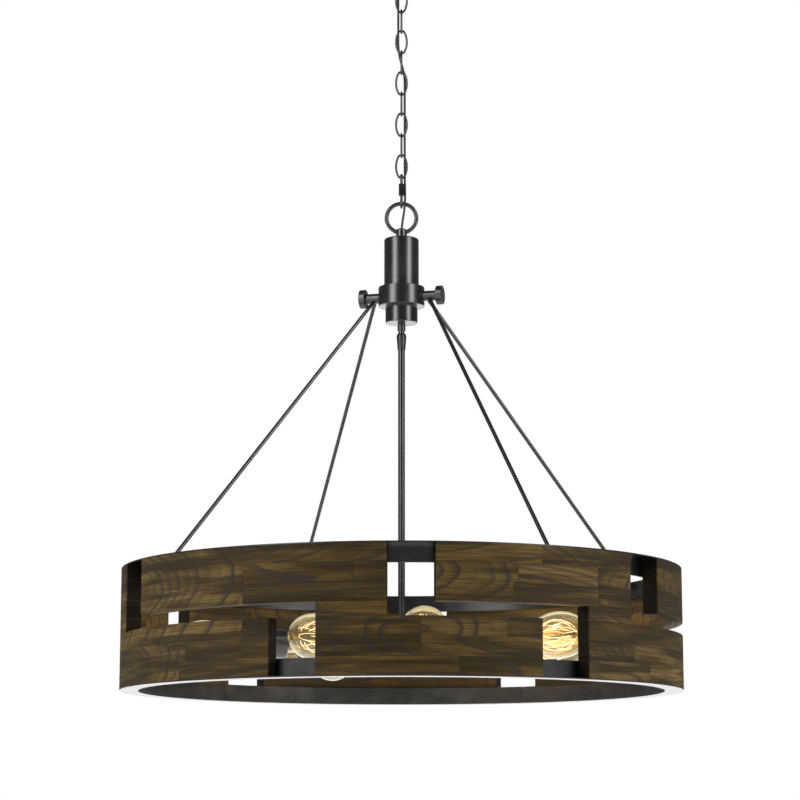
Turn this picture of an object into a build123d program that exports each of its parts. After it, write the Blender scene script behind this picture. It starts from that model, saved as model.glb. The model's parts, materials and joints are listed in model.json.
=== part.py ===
# Drum chandelier: a slatted wood drum on four rods, hung by a chain under a ceiling canopy.
#
# Millimetres, +Z up. The origin is on the ceiling, above the middle of the canopy, so the whole
# lamp lies below z = 0. The front view looks along +Y, with +X to the right. An azimuth is
# counted in degrees from the front (-Y), positive towards +X.

from build123d import *
from math import asin, cos, degrees, radians, sin, tan
import os

# How far a cut runs past the face that it opens
cut_margin = 1.0

# Driving dimensions of the ceiling fitting
bar_length = 104.0
bar_width = 19.0
bar_thickness = 2.5
bar_end_radius = 8.5
slot_spacing = 79.0
slot_length = 24.0
slot_width = 4.8
ground_screw_diameter = 4.0
ground_screw_offset = 18.0
ground_head_diameter = 8.0
ground_head_height = 2.6
canopy_diameter = 127.0
canopy_depth = 25.0
canopy_wall = 1.2
canopy_edge_radius = 7.0
pipe_diameter = 9.8
pipe_bore = 6.6
canopy_pipe_length = 26.0
hex_nut_flats = 15.0
hex_nut_height = 5.0
collar_diameter = 26.0
collar_height = 22.0
collar_bottom = -36.0
ring_nut_diameter = 36.0
ring_nut_height = 7.0
ring_nut_edge_radius = 1.5
thread_clearance = 0.05
canopy_hole_clearance = 0.4

# Driving dimensions of the loops, the chain and the cord
canopy_loop_diameter = 25.0
canopy_loop_wire = 4.0
canopy_loop_drop = 8.0
cord_hole_diameter = 7.0
link_length = 38.6
link_width = 19.4
link_wire = 3.2
link_end_radius = 5.2
link_count = 10
quick_link_length = 52.6
quick_link_width = 22.0
quick_link_wire = 4.3
quick_nut_length = 18.0
quick_nut_flats = 7.0
hub_loop_diameter = 50.0
hub_loop_wire = 6.0
hub_loop_rise = 31.9
hang_clearance = 0.15
cord_diameter = 3.3
cord_offset = 4.4
cord_bend_radius = 22.0
cord_run_share = 0.45
cord_inside = 7.0
cord_run_in = 1.0
cord_end_depth = 5.0
cord_end_rise = 3.0
cord_loop_x = 5.4
cord_loop_y = -5.3

# Driving dimensions of the hub
neck_diameter = 16.0
neck_height = 15.5
neck_edge_radius = 3.0
hub_diameter = 50.8
hub_length = 73.1
hub_wall = 1.5
hub_edge_radius = 2.5
hub_top_thickness = 4.0
hub_rim_radius = 1.0
hub_collar_diameter = 67.5
hub_collar_height = 28.9
cup_diameter = 47.0
cup_length = 24.7
hub_pipe_diameter = 11.7
pipe_clearance = 0.1
hub_pipe_drop = 12.0
waist_diameter = 8.8
hub_pipe_bore = 6.0
hub_pipe_setback = 0.5
waist_length = 3.4
coupler_diameter = 14.6
coupler_tail_diameter = 11.2
coupler_length = 24.8
coupler_shoulder = 4.0
coupler_bevel = 1.5
stem_diameter = 10.0
stem_bore = 7.6
stem_inside = 8.0

# Driving dimensions of the cross pins and the rods
pin_azimuth = 75.0
pin_diameter = 15.0
pin_tenon_diameter = 8.0
pin_tenon_length = 12.0
pin_head_diameter = 28.0
pin_head_thickness = 9.0
pin_reach = 62.5
pin_head_edge_radius = 1.0
pin_end_gap = 0.2
rod_diameter = 5.5
rod_azimuths = (32.0, 112.4, -58.8, -153.4)
rod_start_radii = (42.5, 38.5, 39.5, 40.5)
rod_side_offset = 3.2
rod_top_depth = 3.0
rod_clearance = 0.1
drum_drop = 404.5
boss_diameter = 11.0
boss_length = 10.0
boss_depth = 6.0
boss_below_rim = 5.0

# Driving dimensions of the drum
drum_diameter = 800.0
tier_height = 76.2
tier_gap = 19.05
wood_thickness = 22.2
panel_edge_radius = 1.6
band_height = 25.4
band_thickness = 4.0
leg_thickness = 1.6
glue_gap = 0.2
upper_gap_azimuths = (-67.45, 1.75, 54.8, 122.0, 173.5, 242.7)
upper_gap_angles = (10.3, 9.0, 10.3, 8.9, 8.9, 8.9)
lower_gap_azimuths = (-20.66, 32.25, 99.5, 151.65, 219.65, 271.8)
lower_gap_angles = (9.27, 10.5, 10.2, 10.2, 10.2, 10.2)
screw_diameter = 3.5
screw_length = 18.0
screw_head_diameter = 7.0
screw_hole_clearance = 0.05
screw_row_height = 12.7
screw_head_recess = 0.15
screw_head_play = 0.3
screw_end_gap = 0.5

# Driving dimensions of the lamp cluster
lamp_count = 9
first_lamp_azimuth = 7.8
lamp_height = 66.0
short_reach = 221.0
long_reach = 288.0
lamp_tilts = (1.6, 0.2, 0.0, 0.0, 0.7, -1.8, 0.0, -0.5, -0.3)
cluster_diameter = 92.0
cluster_height = 38.0
cluster_wall = 2.0
cluster_edge_radius = 3.0
cap_thickness = 3.0
cap_edge_radius = 1.5
cap_lip_height = 3.0
cap_lip_clearance = 0.3
finial_diameter = 14.0
finial_height = 9.0
finial_stud_diameter = 6.0
finial_stud_inside = 6.0
finial_edge_radius = 3.0
arm_diameter = 10.0
arm_bore = 7.0
arm_inside = 4.0
socket_diameter = 41.5
socket_length = 50.0
socket_wall = 1.2
socket_edge_radius = 2.0
liner_clearance = 0.2
liner_setback = 5.0
liner_length = 38.0
base_diameter = 26.0
base_length = 24.0
base_clearance = 0.5
contact_diameter = 9.0
contact_length = 3.0
base_inside = 4.0
bulb_diameter = 64.0
bulb_neck_diameter = 26.4
bulb_flank_length = 70.0
bulb_dome_length = 45.0
neck_swell = 3.0
neck_pull = 24.0
shoulder_pull = 46.0
glass_thickness = 1.0
quarter_pull = 0.5523
bulb_seat_gap = 0.1

# Sizes that follow from the driving dimensions
link_pitch = link_length - 2 * link_wire - hang_clearance
drum_radius = drum_diameter / 2
wood_inner_radius = drum_radius - wood_thickness
band_outer_radius = wood_inner_radius - glue_gap
band_inner_radius = band_outer_radius - band_thickness
pin_head_inner = pin_reach - pin_head_thickness
countersink_depth = (screw_head_diameter - screw_diameter) / 2

# Heights of the ceiling fitting and the chain, from the ceiling down
loop_centre_z = collar_bottom - canopy_loop_drop
loop_wire_z = loop_centre_z - (canopy_loop_diameter - canopy_loop_wire) / 2
first_contact_z = loop_wire_z + canopy_loop_wire / 2
first_link_z = first_contact_z + hang_clearance - link_length / 2 + link_wire
last_link_z = first_link_z - (link_count - 1) * link_pitch
quick_link_top = last_link_z - link_length / 2 + link_wire + quick_link_wire + hang_clearance
quick_link_z = quick_link_top - quick_link_length / 2
quick_wire_z = quick_link_z - quick_link_length / 2 + quick_link_wire / 2
hub_loop_wire_z = quick_wire_z + (quick_link_wire + hub_loop_wire) / 2 + hang_clearance
hub_loop_z = hub_loop_wire_z - (hub_loop_diameter - hub_loop_wire) / 2

# Heights of the hub and the drum
hub_top = hub_loop_z - hub_loop_rise
hub_collar_top = hub_top - hub_length
hub_collar_bottom = hub_collar_top - hub_collar_height
cup_bottom = hub_collar_bottom - cup_length
pin_z = (hub_collar_top + hub_collar_bottom) / 2
pipe_bottom = cup_bottom - hub_pipe_drop
coupler_top = pipe_bottom - waist_length
coupler_bottom = coupler_top - coupler_length
drum_height = 2 * tier_height + tier_gap
rim_top = pin_z - drum_drop
rim_bottom = rim_top - drum_height
lower_tier_top = rim_bottom + tier_height
upper_tier_bottom = rim_top - tier_height
lamp_z = rim_bottom + lamp_height

os.makedirs("parts", exist_ok=True)


def save(piece, name):
    """Name a finished piece and write it."""
    piece.part.label = name
    export_step(piece.part, f"parts/{name}.step")


def around(azimuth, radius, z):
    """The point at an azimuth from the front, a radius from the axis and a height."""
    angle = radians(azimuth)
    return Vector(radius * sin(angle), -radius * cos(angle), z)


def sector(inner_radius, outer_radius, start, end):
    """Draw a ring sector between two azimuths in the sketch that is open."""
    with BuildLine() as outline:
        outer_arc = CenterArc((0, 0), outer_radius, start - 90, end - start)
        inner_arc = CenterArc((0, 0), inner_radius, start - 90, end - start)
        Line(outer_arc @ 0, inner_arc @ 0)
        Line(outer_arc @ 1, inner_arc @ 1)
    make_face(outline.edges())


def side_plane(plane):
    """The plane that holds the axis of another plane: x across the axis, y along it."""
    return Plane(origin=plane.origin, x_dir=plane.x_dir, z_dir=-plane.y_dir)


def link_plane(z, front):
    """A link's plane: facing the front, or edge on to it."""
    if front:
        return Plane(origin=(0, 0, z), x_dir=(1, 0, 0), z_dir=(0, -1, 0))
    return Plane(origin=(0, 0, z), x_dir=(0, 1, 0), z_dir=(1, 0, 0))


def oval_side(length, width, end_radius):
    """Half an oval of four arcs, from the middle of its foot round its right side to its top."""
    rise = length / 2 - end_radius
    spread = width / 2 - end_radius
    side_radius = ((width / 2) ** 2 + rise ** 2 - end_radius ** 2) / (2 * spread)
    side_x = width / 2 - side_radius
    swing = degrees(asin(rise / (side_radius - end_radius)))
    with BuildLine() as half:
        CenterArc((0, -rise), end_radius, -90, 90 - swing)
        CenterArc((side_x, 0), side_radius, -swing, 2 * swing)
        CenterArc((0, rise), end_radius, swing, 90 - swing)
    return half.line


def straight_side(length, width):
    """Half a link with straight sides, from the middle of its foot to the middle of its top."""
    bend = width / 2
    rise = length / 2 - bend
    with BuildLine() as half:
        CenterArc((0, -rise), bend, -90, 90)
        Line((bend, -rise), (bend, rise))
        CenterArc((0, rise), bend, 0, 90)
    return half.line


def bend_link(half, wire, plane):
    """Bend round wire into a closed link with two equal sides, in the part that is open."""
    for outline in (half, mirror(half, about=Plane.YZ, mode=Mode.PRIVATE)):
        path = plane.from_local_coords(outline)
        with BuildSketch(Plane(origin=path @ 0, z_dir=path % 0)) as section:
            Circle(wire / 2)
        sweep(section.sketch, path=path)


def bend_ring(diameter, wire, plane):
    """Bend round wire into a round ring, in the part that is open."""
    radius = (diameter - wire) / 2
    with Locations(plane):
        Torus(radius, wire / 2)


def hexagon_nut(flats, height, bore, plane):
    """A hexagon nut that stands on a plane, in the part that is open."""
    with BuildSketch(plane) as section:
        RegularPolygon(flats / 2, 6, major_radius=False)
        Circle(bore / 2, mode=Mode.SUBTRACT)
    extrude(section.sketch, amount=height)


# Ceiling bar: a steel strap with two slots for the screws of the ceiling box
with BuildPart() as ceiling_bar:
    with BuildSketch(Plane.XY.offset(-bar_thickness)):
        RectangleRounded(bar_length, bar_width, bar_end_radius)
        Circle(pipe_diameter / 2 + thread_clearance, mode=Mode.SUBTRACT)
        with Locations((-slot_spacing / 2, 0), (slot_spacing / 2, 0)):
            SlotOverall(slot_length, slot_width, mode=Mode.SUBTRACT)
        with Locations((ground_screw_offset, 0)):
            Circle(ground_screw_diameter / 2 + thread_clearance, mode=Mode.SUBTRACT)
    extrude(amount=bar_thickness)
save(ceiling_bar, "ceiling_bar")

# Ground screw: a pan head screw in the bar
with BuildPart() as ground_screw:
    with BuildSketch(Plane.XY.offset(-bar_thickness - ground_head_height)):
        with Locations((ground_screw_offset, 0)):
            Circle(ground_head_diameter / 2)
    extrude(amount=ground_head_height)
    fillet(ground_screw.faces().sort_by(Axis.Z)[0].edges(), ground_head_height / 3)
    with BuildSketch(Plane.XY.offset(-bar_thickness)):
        with Locations((ground_screw_offset, 0)):
            Circle(ground_screw_diameter / 2)
    extrude(amount=bar_thickness)
save(ground_screw, "ground_screw")

# Canopy pipe: the threaded pipe that carries the collar below the bar
with BuildPart() as canopy_pipe:
    with BuildSketch(Plane.XY.offset(-canopy_pipe_length)):
        Circle(pipe_diameter / 2)
        Circle(pipe_bore / 2, mode=Mode.SUBTRACT)
    extrude(amount=canopy_pipe_length)
save(canopy_pipe, "canopy_pipe")

# Lock nut: holds the pipe under the bar
with BuildPart() as lock_nut:
    hexagon_nut(hex_nut_flats, hex_nut_height, pipe_diameter + 2 * thread_clearance,
                Plane.XY.offset(-bar_thickness - hex_nut_height))
save(lock_nut, "lock_nut")

# Canopy: a pressed cup over the ceiling box, open at the ceiling
with BuildPart() as canopy:
    with BuildSketch(Plane.XY.offset(-canopy_depth)):
        Circle(canopy_diameter / 2)
    extrude(amount=canopy_depth)
    fillet(canopy.faces().sort_by(Axis.Z)[0].edges(), canopy_edge_radius)
    offset(amount=-canopy_wall, openings=canopy.faces().sort_by(Axis.Z)[-1])
    with BuildSketch(Plane.XY.offset(-canopy_depth)):
        Circle(collar_diameter / 2 + canopy_hole_clearance)
    extrude(amount=canopy_depth, mode=Mode.SUBTRACT)
save(canopy, "canopy")

# Canopy loop: a threaded collar with the loop that the chain hangs in
collar_top = collar_bottom + collar_height
with BuildPart() as canopy_loop:
    with BuildSketch(Plane.XY.offset(collar_bottom)):
        Circle(collar_diameter / 2)
    extrude(amount=collar_height)
    bend_ring(canopy_loop_diameter, canopy_loop_wire, link_plane(loop_centre_z, True))
    with BuildSketch(Plane.XY.offset(-canopy_pipe_length - thread_clearance)):
        Circle(pipe_diameter / 2 + thread_clearance)
    extrude(until=Until.LAST, mode=Mode.SUBTRACT)
    with BuildSketch(Plane.XY.offset(collar_bottom - canopy_loop_drop / 2)):
        Circle(cord_hole_diameter / 2)
    extrude(amount=collar_height, mode=Mode.SUBTRACT)
save(canopy_loop, "canopy_loop")

# Ring nut: threaded on the collar, it holds the canopy up
with BuildPart() as ring_nut:
    with BuildSketch(Plane.XY.offset(-canopy_depth - ring_nut_height)):
        Circle(ring_nut_diameter / 2)
        Circle(collar_diameter / 2 + thread_clearance, mode=Mode.SUBTRACT)
    extrude(amount=ring_nut_height)
    fillet(ring_nut.edges().group_by(Axis.Z)[0].sort_by(SortBy.LENGTH)[-1], ring_nut_edge_radius)
save(ring_nut, "ring_nut")

chain_side = oval_side(link_length - link_wire, link_width - link_wire, link_end_radius)

# Top link: the chain's first link, edge on to the front
with BuildPart() as top_link:
    bend_link(chain_side, link_wire, link_plane(first_link_z, False))
save(top_link, "top_link")

# Chain links: the rest of the chain, every second link facing the front
with BuildPart() as chain_links:
    for index in range(1, link_count):
        bend_link(chain_side, link_wire, link_plane(first_link_z - index * link_pitch, index % 2 == 1))
save(chain_links, "chain_links")

# Quick link: the opening link between the chain and the lamp, edge on to the front
quick_side = (quick_link_width - quick_link_wire) / 2
with BuildPart() as quick_link:
    quick_half = straight_side(quick_link_length - quick_link_wire, quick_link_width - quick_link_wire)
    bend_link(quick_half, quick_link_wire, link_plane(quick_link_z, False))
save(quick_link, "quick_link")

# Quick link nut: the sleeve nut that closes the link, on its near side
with BuildPart() as quick_nut:
    nut_plane = Plane(origin=(0, -quick_side, quick_link_z - quick_nut_length / 2))
    hexagon_nut(quick_nut_flats, quick_nut_length, quick_link_wire + 2 * thread_clearance, nut_plane)
save(quick_nut, "quick_link_nut")

# Hub loop: the big ring with the boss that screws on the hub's pipe
with BuildPart() as hub_loop:
    with BuildSketch(Plane.XY.offset(hub_top)):
        Circle(neck_diameter / 2)
    extrude(amount=neck_height)
    fillet(hub_loop.faces().sort_by(Axis.Z)[-1].edges(), neck_edge_radius)
    bend_ring(hub_loop_diameter, hub_loop_wire, link_plane(hub_loop_z, True))
    with BuildSketch(Plane.XY.offset(hub_top)):
        Circle(cord_hole_diameter / 2)
    extrude(amount=neck_height + cut_margin, mode=Mode.SUBTRACT)
    with BuildSketch(Plane.XY.offset(hub_top)):
        Circle(hub_pipe_diameter / 2 + thread_clearance)
    extrude(amount=neck_height / 2, mode=Mode.SUBTRACT)
save(hub_loop, "hub_loop")

# Hub pipe: the threaded pipe through the hub, with a waisted end for the coupler
with BuildPart() as hub_pipe:
    pipe_top = hub_top + neck_height / 2 - hub_pipe_setback
    with BuildSketch(Plane.XY.offset(pipe_bottom)):
        Circle(hub_pipe_diameter / 2)
    extrude(amount=pipe_top - pipe_bottom)
    with BuildSketch(Plane.XY.offset(coupler_top - coupler_length / 2)):
        Circle(waist_diameter / 2)
    extrude(amount=waist_length + coupler_length / 2)
    with BuildSketch(Plane.XY.offset(coupler_top - coupler_length)):
        Circle(hub_pipe_bore / 2)
    extrude(amount=pipe_top - coupler_bottom, mode=Mode.SUBTRACT)
save(hub_pipe, "hub_pipe")

# Hub body: the tall upper cup, open at the collar
with BuildPart() as hub_body:
    with BuildSketch(Plane.XY.offset(hub_collar_top)):
        Circle(hub_diameter / 2)
    extrude(amount=hub_length)
    fillet(hub_body.faces().sort_by(Axis.Z)[-1].edges(), hub_edge_radius)
    with BuildSketch(Plane.XY.offset(hub_collar_top)):
        Circle(hub_diameter / 2 - hub_wall)
    extrude(amount=hub_length - hub_top_thickness, mode=Mode.SUBTRACT)
    with BuildSketch(Plane.XY.offset(hub_collar_top)):
        Circle(hub_pipe_diameter / 2 + pipe_clearance)
    extrude(amount=hub_length, mode=Mode.SUBTRACT)
save(hub_body, "hub_body")

# Hub collar: the solid ring that the cross pins screw into
with BuildPart() as hub_collar:
    with BuildSketch(Plane.XY.offset(hub_collar_bottom)):
        Circle(hub_collar_diameter / 2)
        Circle(hub_pipe_diameter / 2 + pipe_clearance, mode=Mode.SUBTRACT)
    extrude(amount=hub_collar_height)
    rims = hub_collar.edges().filter_by(GeomType.CIRCLE).filter_by(
        lambda edge: edge.radius > hub_diameter / 2)
    fillet(rims, hub_rim_radius)
    for azimuth in (pin_azimuth, pin_azimuth + 180):
        hole_start = around(azimuth, hub_collar_diameter / 2 - pin_tenon_length - pin_end_gap, pin_z)
        with BuildSketch(Plane(origin=hole_start, z_dir=around(azimuth, 1, 0))):
            Circle(pin_tenon_diameter / 2 + thread_clearance)
        extrude(amount=pin_tenon_length + pin_end_gap + cut_margin, mode=Mode.SUBTRACT)
save(hub_collar, "hub_collar")

# Hub cup: the short lower cup, open at the collar
with BuildPart() as hub_cup:
    with BuildSketch(Plane.XY.offset(cup_bottom)):
        Circle(cup_diameter / 2)
    extrude(amount=cup_length)
    fillet(hub_cup.faces().sort_by(Axis.Z)[0].edges(), hub_rim_radius)
    with BuildSketch(Plane.XY.offset(cup_bottom + hub_wall)):
        Circle(cup_diameter / 2 - hub_wall)
    extrude(amount=cup_length - hub_wall, mode=Mode.SUBTRACT)
    with BuildSketch(Plane.XY.offset(cup_bottom)):
        Circle(hub_pipe_diameter / 2 + pipe_clearance)
    extrude(amount=cup_length, mode=Mode.SUBTRACT)
save(hub_cup, "hub_cup")

# Rods: each runs from the underside of a cross pin to the inside of the upper rim. The two on a
# pin start side by side, the front one nearer to the front.
rod_lines = []
for azimuth, start_radius in zip(rod_azimuths, rod_start_radii):
    side = pin_azimuth if azimuth > 0 else pin_azimuth - 180
    toward_front = rod_side_offset if abs(azimuth) < 90 else -rod_side_offset
    rod_start = (around(side, start_radius, pin_z - rod_top_depth)
                 + around(pin_azimuth - 90, toward_front, 0))
    rod_end = around(azimuth, band_inner_radius - boss_diameter / 2, rim_top - boss_below_rim)
    rod_lines.append((side, rod_start, rod_end))


def rod_plane(start, end):
    """The plane at a rod's upper end, looking down the rod."""
    return Plane(origin=start, z_dir=end - start)


# Cross pins: turned in one piece, with a tenon in the collar and a disc for a head
for name, side in (("cross_pin_right", pin_azimuth), ("cross_pin_left", pin_azimuth - 180)):
    with BuildPart() as cross_pin:
        pin_start = around(side, hub_collar_diameter / 2, pin_z)
        pin_plane = Plane(origin=pin_start, z_dir=around(side, 1, 0))
        with BuildSketch(pin_plane):
            Circle(pin_diameter / 2)
        extrude(amount=pin_head_inner - hub_collar_diameter / 2)
        with BuildSketch(pin_plane):
            Circle(pin_tenon_diameter / 2)
        extrude(amount=-pin_tenon_length)
        with BuildSketch(pin_plane.offset(pin_head_inner - hub_collar_diameter / 2)):
            Circle(pin_head_diameter / 2)
        extrude(amount=pin_head_thickness)
        head_rims = cross_pin.edges().filter_by(GeomType.CIRCLE).filter_by(
            lambda edge: edge.radius > pin_diameter / 2)
        fillet(head_rims, pin_head_edge_radius)
        for rod_side, rod_start, rod_end in rod_lines:
            if rod_side == side:
                with BuildSketch(rod_plane(rod_start, rod_end)):
                    Circle(rod_diameter / 2 + rod_clearance)
                extrude(amount=pin_diameter, mode=Mode.SUBTRACT)
    save(cross_pin, name)

rod_names = ("rod_front_right", "rod_back_right", "rod_front_left", "rod_back_left")
for name, (rod_side, rod_start, rod_end) in zip(rod_names, rod_lines):
    with BuildPart() as rod:
        with BuildSketch(rod_plane(rod_start, rod_end)):
            Circle(rod_diameter / 2)
        extrude(amount=(rod_end - rod_start).length)
    save(rod, name)

# Rod bosses: welded inside the upper rim, each takes the end of a rod
with BuildPart() as rod_bosses:
    for rod_side, rod_start, rod_end in rod_lines:
        along = (rod_end - rod_start).normalized()
        mouth = rod_end - along * boss_depth
        with BuildSketch(Plane(origin=mouth, z_dir=along)):
            Circle(boss_diameter / 2)
        extrude(amount=boss_length)
    with BuildSketch(Plane.XY.offset(rim_top - leg_thickness - glue_gap)):
        Circle(band_inner_radius)
    extrude(amount=-drum_height, mode=Mode.INTERSECT)
    for rod_side, rod_start, rod_end in rod_lines:
        along = (rod_end - rod_start).normalized()
        with BuildSketch(Plane(origin=rod_end, z_dir=-along)):
            Circle(rod_diameter / 2 + rod_clearance)
        extrude(amount=boss_length, mode=Mode.SUBTRACT)
save(rod_bosses, "rod_bosses")

# Stem coupler: the tapered nut between the hub's pipe and the stem
with BuildPart() as stem_coupler:
    with BuildSketch(Plane.XZ):
        with BuildLine():
            Polyline(
                (0, coupler_top), (coupler_diameter / 2 - coupler_bevel, coupler_top),
                (coupler_diameter / 2, coupler_top - coupler_shoulder),
                (coupler_tail_diameter / 2, coupler_bottom), (0, coupler_bottom), close=True)
        make_face()
    revolve(axis=Axis.Z)
    with BuildSketch(Plane.XY.offset(coupler_top - coupler_length / 2)):
        Circle(waist_diameter / 2 + thread_clearance)
    extrude(amount=coupler_length, mode=Mode.SUBTRACT)
    with BuildSketch(Plane.XY.offset(coupler_bottom)):
        Circle(stem_diameter / 2 + thread_clearance)
    extrude(amount=coupler_length / 2, mode=Mode.SUBTRACT)
save(stem_coupler, "stem_coupler")

# Stem: the tube down to the lamp cluster
stem_top = coupler_top - coupler_length / 2
cluster_top = lamp_z + cluster_height / 2
stem_bottom = cluster_top - cluster_wall - stem_inside
with BuildPart() as stem:
    with BuildSketch(Plane.XY.offset(stem_bottom)):
        Circle(stem_diameter / 2)
        Circle(stem_bore / 2, mode=Mode.SUBTRACT)
    extrude(amount=stem_top - stem_bottom)
save(stem, "stem")

# Wood panels: bent slats in a Z, each with one arc in the upper tier and one in the lower
upper_arcs = []
lower_arcs = []
for index in range(6):
    turn = 360 if index == 5 else 0
    after = (index + 1) % 6
    upper_arcs.append((upper_gap_azimuths[index] + upper_gap_angles[index] / 2,
                       upper_gap_azimuths[after] + turn - upper_gap_angles[after] / 2))
    lower_arcs.append((lower_gap_azimuths[index] + lower_gap_angles[index] / 2,
                       lower_gap_azimuths[after] + turn - lower_gap_angles[after] / 2))


def screw_azimuths(arc):
    """Where the two screws of one arc stand."""
    start, end = arc
    quarter = (end - start) / 4
    return start + quarter, end - quarter


screw_rows = [(rim_top - screw_row_height, upper_arcs), (rim_bottom + screw_row_height, lower_arcs)]


def screw_plane(azimuth, z):
    """The plane at a screw's head, looking outward."""
    return Plane(origin=around(azimuth, band_inner_radius, z), z_dir=around(azimuth, 1, 0))


for index in range(6):
    upper_start, upper_end = upper_arcs[index]
    lower_start, lower_end = lower_arcs[index]
    overlap_start = max(upper_start, lower_start)
    overlap_end = min(upper_end, lower_end)
    with BuildPart() as panel:
        with BuildSketch(Plane.XY.offset(upper_tier_bottom)):
            sector(wood_inner_radius, drum_radius, upper_start, upper_end)
        extrude(amount=tier_height - leg_thickness)
        with BuildSketch(Plane.XY.offset(rim_bottom + leg_thickness)):
            sector(wood_inner_radius, drum_radius, lower_start, lower_end)
        extrude(amount=tier_height - leg_thickness)
        with BuildSketch(Plane.XY.offset(lower_tier_top)):
            sector(wood_inner_radius, drum_radius, overlap_start, overlap_end)
        extrude(amount=tier_gap)
        ends = panel.edges().filter_by(Axis.Z).filter_by(
            lambda edge: Vector(edge.center().X, edge.center().Y).length > drum_radius - panel_edge_radius)
        fillet(ends, panel_edge_radius)
        for z, arcs in screw_rows:
            for azimuth in screw_azimuths(arcs[index]):
                with BuildSketch(screw_plane(azimuth, z)):
                    Circle(screw_diameter / 2 + screw_hole_clearance)
                extrude(amount=screw_length + screw_end_gap, mode=Mode.SUBTRACT)
    save(panel, f"wood_panel_{index + 1}")

# Rims: an angle ring at the top and one at the bottom, with the band inside the wood
for name, leg_z, toward_wood, (screw_z, arcs) in (
        ("top_ring", rim_top, -1, screw_rows[0]), ("bottom_ring", rim_bottom, 1, screw_rows[1])):
    with BuildPart() as ring:
        with BuildSketch(Plane.XY.offset(leg_z)):
            Circle(drum_radius)
            Circle(band_inner_radius, mode=Mode.SUBTRACT)
        extrude(amount=toward_wood * leg_thickness)
        with BuildSketch(Plane.XY.offset(leg_z)):
            Circle(band_outer_radius)
            Circle(band_inner_radius, mode=Mode.SUBTRACT)
        extrude(amount=toward_wood * band_height)
        for arc in arcs:
            for azimuth in screw_azimuths(arc):
                outward = around(azimuth, 1, 0)
                centre = around(azimuth, band_inner_radius, screw_z)
                hole_radius = screw_diameter / 2 + screw_hole_clearance
                with BuildSketch(Plane(origin=centre, x_dir=outward, z_dir=around(azimuth - 90, 1, 0))):
                    with BuildLine():
                        Polyline(
                            (-cut_margin, 0),
                            (-cut_margin, hole_radius + countersink_depth + cut_margin),
                            (countersink_depth, hole_radius),
                            (band_thickness + cut_margin, hole_radius),
                            (band_thickness + cut_margin, 0), close=True)
                    make_face()
                revolve(axis=Axis(centre, outward), mode=Mode.SUBTRACT)
    save(ring, name)

# Panel screws: countersunk screws from inside the bands into the wood
with BuildPart() as panel_screws:
    head_depth = countersink_depth - screw_head_play
    for z, arcs in screw_rows:
        for arc in arcs:
            for azimuth in screw_azimuths(arc):
                head_plane = screw_plane(azimuth, z).offset(screw_head_recess)
                with BuildSketch(head_plane):
                    Circle(screw_head_diameter / 2 - screw_head_play)
                with BuildSketch(head_plane.offset(head_depth)):
                    Circle(screw_diameter / 2)
                loft()
                with BuildSketch(head_plane.offset(head_depth)):
                    Circle(screw_diameter / 2)
                extrude(amount=screw_length - head_depth - screw_end_gap)
save(panel_screws, "panel_screws")


# Lamps: each stands on a plane whose origin is on the cluster's axis, looking along the arm
def lamp_plane(index):
    """The plane of one lamp: z along its arm, outward."""
    azimuth = first_lamp_azimuth + index * 360 / lamp_count
    tilt = radians(lamp_tilts[index])
    outward = around(azimuth, cos(tilt), sin(tilt))
    across = around(azimuth + 90, 1, 0)
    return Plane(origin=(0, 0, lamp_z), x_dir=across, z_dir=outward)


def socket_rim(index):
    """How far from the axis the mouth of a lamp's socket lies."""
    reach = long_reach if index % 3 == 1 else short_reach
    return reach - bulb_flank_length + base_inside


# Cluster body: the wiring cup at the foot of the stem, open below
with BuildPart() as cluster_body:
    with BuildSketch(Plane.XY.offset(cluster_top - cluster_height)):
        Circle(cluster_diameter / 2)
    extrude(amount=cluster_height)
    fillet(cluster_body.faces().sort_by(Axis.Z)[-1].edges(), cluster_edge_radius)
    with BuildSketch(Plane.XY.offset(cluster_top - cluster_height)):
        Circle(cluster_diameter / 2 - cluster_wall)
    extrude(amount=cluster_height - cluster_wall, mode=Mode.SUBTRACT)
    with BuildSketch(Plane.XY.offset(cluster_top - cluster_height)):
        Circle(stem_diameter / 2 + thread_clearance)
    extrude(amount=cluster_height, mode=Mode.SUBTRACT)
    for index in range(lamp_count):
        with BuildSketch(lamp_plane(index)):
            Circle(arm_diameter / 2 + thread_clearance)
        extrude(amount=cluster_diameter, mode=Mode.SUBTRACT)
save(cluster_body, "cluster_body")

# Stem nut: holds the cluster body on the stem from inside
with BuildPart() as stem_nut:
    hexagon_nut(hex_nut_flats, hex_nut_height, stem_diameter + 2 * thread_clearance,
                Plane.XY.offset(cluster_top - cluster_wall - hex_nut_height))
save(stem_nut, "stem_nut")

# Cluster cap: the lid under the wiring cup
cap_bottom = cluster_top - cluster_height - cap_thickness
with BuildPart() as cluster_cap:
    with BuildSketch(Plane.XY.offset(cap_bottom)):
        Circle(cluster_diameter / 2)
    extrude(amount=cap_thickness)
    fillet(cluster_cap.faces().sort_by(Axis.Z)[0].edges(), cap_edge_radius)
    with BuildSketch(Plane.XY.offset(cap_bottom + cap_thickness)):
        Circle(cluster_diameter / 2 - cluster_wall - cap_lip_clearance)
    extrude(amount=cap_lip_height)
    with BuildSketch(Plane.XY.offset(cap_bottom)):
        Circle(finial_stud_diameter / 2 + thread_clearance)
    extrude(amount=cap_thickness + cap_lip_height, mode=Mode.SUBTRACT)
save(cluster_cap, "cluster_cap")

# Finial: the knob whose stud draws the cap up to the stem
with BuildPart() as finial:
    with BuildSketch(Plane.XY.offset(cap_bottom - finial_height)):
        Circle(finial_diameter / 2)
    extrude(amount=finial_height)
    fillet(finial.faces().sort_by(Axis.Z)[0].edges(), finial_edge_radius)
    with BuildSketch(Plane.XY.offset(cap_bottom)):
        Circle(finial_stud_diameter / 2)
    extrude(amount=stem_bottom + finial_stud_inside - cap_bottom)
save(finial, "finial")

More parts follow.
